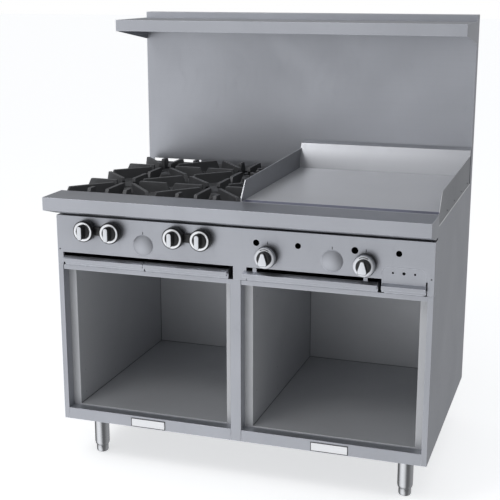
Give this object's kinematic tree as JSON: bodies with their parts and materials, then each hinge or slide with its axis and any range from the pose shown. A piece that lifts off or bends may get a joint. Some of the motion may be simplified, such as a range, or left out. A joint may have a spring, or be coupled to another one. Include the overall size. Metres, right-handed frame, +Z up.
{
  "type": "commercial gas range",
  "caption": "Heavy-duty gas range on open storage cabinets, with cast grates over open burners, a flat griddle, a plate rail, knobs, and a backguard with a high shelf.",
  "frame": {"origin": "centre of the footprint, on the floor", "axes": "+Z up, -Y towards the cook, +X to the cook's right"},
  "size_m": [1.2, 0.876, 1.448],
  "materials": {
    "panel_steel": "satin brushed stainless sheet",
    "body_steel": "dull satin stainless sheet",
    "liner_steel": "dull aluminised sheet",
    "griddle_steel": "ground steel plate",
    "leg_chrome": "bright plated steel",
    "cast_iron": "dark grey cast surface",
    "pipe_steel": "painted steel pipe with machined valve bodies",
    "knob_black": "black moulded plastic with bright inserts",
    "stem_steel": "machined steel",
    "nameplate": "blank satin plate"
  },
  "bodies": {
    "range_body": {"backguard": "panel_steel", "base_pan": "body_steel", "burner_base_front_left": "cast_iron", "burner_base_front_right": "cast_iron", "burner_base_rear_left": "cast_iron", "burner_base_rear_right": "cast_iron", "burner_head_front_left": "cast_iron", "burner_head_front_right": "cast_iron", "burner_head_rear_left": "cast_iron", "burner_head_rear_right": "cast_iron", "centre_stile": "panel_steel", "control_panel": "panel_steel", "front_top_rail": "panel_steel", "gas_manifold": "pipe_steel", "griddle_burner_left": "body_steel", "griddle_burner_right": "body_steel", "griddle_plate": "griddle_steel", "griddle_splash": "panel_steel", "left_bottom_rail": "panel_steel", "left_cabinet_liner": "liner_steel", "left_side_panel": "body_steel", "leg_front_left": "leg_chrome", "leg_front_right": "leg_chrome", "leg_rear_left": "leg_chrome", "leg_rear_right": "leg_chrome", "nameplate_left": "nameplate", "nameplate_right": "nameplate", "panel_plug_left": "panel_steel", "panel_plug_right": "panel_steel", "plate_rail": "panel_steel", "rear_panel": "body_steel", "right_bottom_rail": "panel_steel", "right_cabinet_liner": "liner_steel", "right_side_panel": "body_steel", "top_frame": "body_steel"},
    "burner_control_front_left": {"burner_knob_front_left": "knob_black", "valve_stem_front_left": "stem_steel"},
    "burner_control_rear_left": {"burner_knob_rear_left": "knob_black", "valve_stem_rear_left": "stem_steel"},
    "burner_control_front_right": {"burner_knob_front_right": "knob_black", "valve_stem_front_right": "stem_steel"},
    "burner_control_rear_right": {"burner_knob_rear_right": "knob_black", "valve_stem_rear_right": "stem_steel"},
    "griddle_control_left": {"griddle_knob_left": "knob_black", "valve_stem_left": "stem_steel"},
    "griddle_control_right": {"griddle_knob_right": "knob_black", "valve_stem_right": "stem_steel"},
    "grate_body_front_left": {"grate_front_left": "cast_iron"},
    "grate_body_front_right": {"grate_front_right": "cast_iron"},
    "grate_body_rear_left": {"grate_rear_left": "cast_iron"},
    "grate_body_rear_right": {"grate_rear_right": "cast_iron"},
    "left_drip_tray_body": {"left_drip_tray": "panel_steel"},
    "middle_drip_tray_body": {"middle_drip_tray": "panel_steel"},
    "griddle_drip_tray_body": {"griddle_drip_tray": "panel_steel"},
    "grease_drawer_body": {"grease_drawer": "panel_steel"},
    "high_shelf_body": {"high_shelf": "panel_steel"},
    "foot_body_front_left": {"foot_front_left": "leg_chrome"},
    "foot_body_front_right": {"foot_front_right": "leg_chrome"},
    "foot_body_rear_left": {"foot_rear_left": "leg_chrome"},
    "foot_body_rear_right": {"foot_rear_right": "leg_chrome"}
  },
  "joints": [
    {"name": "burner_knob_front_left_turn", "type": "hinge", "parent": "range_body", "child": "burner_control_front_left", "pos_m": [-0.4945, -0.353, 0.798], "axis": [0, 1, 0], "range_deg": [-90, 0]},
    {"name": "burner_knob_rear_left_turn", "type": "hinge", "parent": "range_body", "child": "burner_control_rear_left", "pos_m": [-0.4055, -0.353, 0.798], "axis": [0, 1, 0], "range_deg": [-90, 0]},
    {"name": "burner_knob_front_right_turn", "type": "hinge", "parent": "range_body", "child": "burner_control_front_right", "pos_m": [-0.1945, -0.353, 0.798], "axis": [0, 1, 0], "range_deg": [-90, 0]},
    {"name": "burner_knob_rear_right_turn", "type": "hinge", "parent": "range_body", "child": "burner_control_rear_right", "pos_m": [-0.1055, -0.353, 0.798], "axis": [0, 1, 0], "range_deg": [-90, 0]},
    {"name": "griddle_knob_left_turn", "type": "hinge", "parent": "range_body", "child": "griddle_control_left", "pos_m": [0.101, -0.353, 0.761], "axis": [0, 1, 0], "range_deg": [-90, 0]},
    {"name": "griddle_knob_right_turn", "type": "hinge", "parent": "range_body", "child": "griddle_control_right", "pos_m": [0.4, -0.353, 0.761], "axis": [0, 1, 0], "range_deg": [-90, 0]},
    {"name": "grate_front_left_lift", "type": "slide", "parent": "range_body", "child": "grate_body_front_left", "axis": [0, 0, 1], "range_m": [0, 0.12]},
    {"name": "grate_front_right_lift", "type": "slide", "parent": "range_body", "child": "grate_body_front_right", "axis": [0, 0, 1], "range_m": [0, 0.12]},
    {"name": "grate_rear_left_lift", "type": "slide", "parent": "range_body", "child": "grate_body_rear_left", "axis": [0, 0, 1], "range_m": [0, 0.12]},
    {"name": "grate_rear_right_lift", "type": "slide", "parent": "range_body", "child": "grate_body_rear_right", "axis": [0, 0, 1], "range_m": [0, 0.12]},
    {"name": "left_drip_tray_slide", "type": "slide", "parent": "range_body", "child": "left_drip_tray_body", "axis": [0, -1, 0], "range_m": [0, 0.55]},
    {"name": "middle_drip_tray_slide", "type": "slide", "parent": "range_body", "child": "middle_drip_tray_body", "axis": [0, -1, 0], "range_m": [0, 0.55]},
    {"name": "griddle_drip_tray_slide", "type": "slide", "parent": "range_body", "child": "griddle_drip_tray_body", "axis": [0, -1, 0], "range_m": [0, 0.55]},
    {"name": "grease_drawer_slide", "type": "slide", "parent": "range_body", "child": "grease_drawer_body", "axis": [0, -1, 0], "range_m": [0, 0.38]},
    {"name": "high_shelf_lift", "type": "slide", "parent": "range_body", "child": "high_shelf_body", "axis": [0, 0, 1], "range_m": [0, 0.03]},
    {"name": "foot_front_left_turn", "type": "hinge", "parent": "range_body", "child": "foot_body_front_left", "pos_m": [-0.52, -0.245, 0.02], "axis": [0, 0, 1], "continuous": true},
    {"name": "foot_front_right_turn", "type": "hinge", "parent": "range_body", "child": "foot_body_front_right", "pos_m": [0.52, -0.245, 0.02], "axis": [0, 0, 1], "continuous": true},
    {"name": "foot_rear_left_turn", "type": "hinge", "parent": "range_body", "child": "foot_body_rear_left", "pos_m": [-0.52, 0.327, 0.02], "axis": [0, 0, 1], "continuous": true},
    {"name": "foot_rear_right_turn", "type": "hinge", "parent": "range_body", "child": "foot_body_rear_right", "pos_m": [0.52, 0.327, 0.02], "axis": [0, 0, 1], "continuous": true}
  ]
}
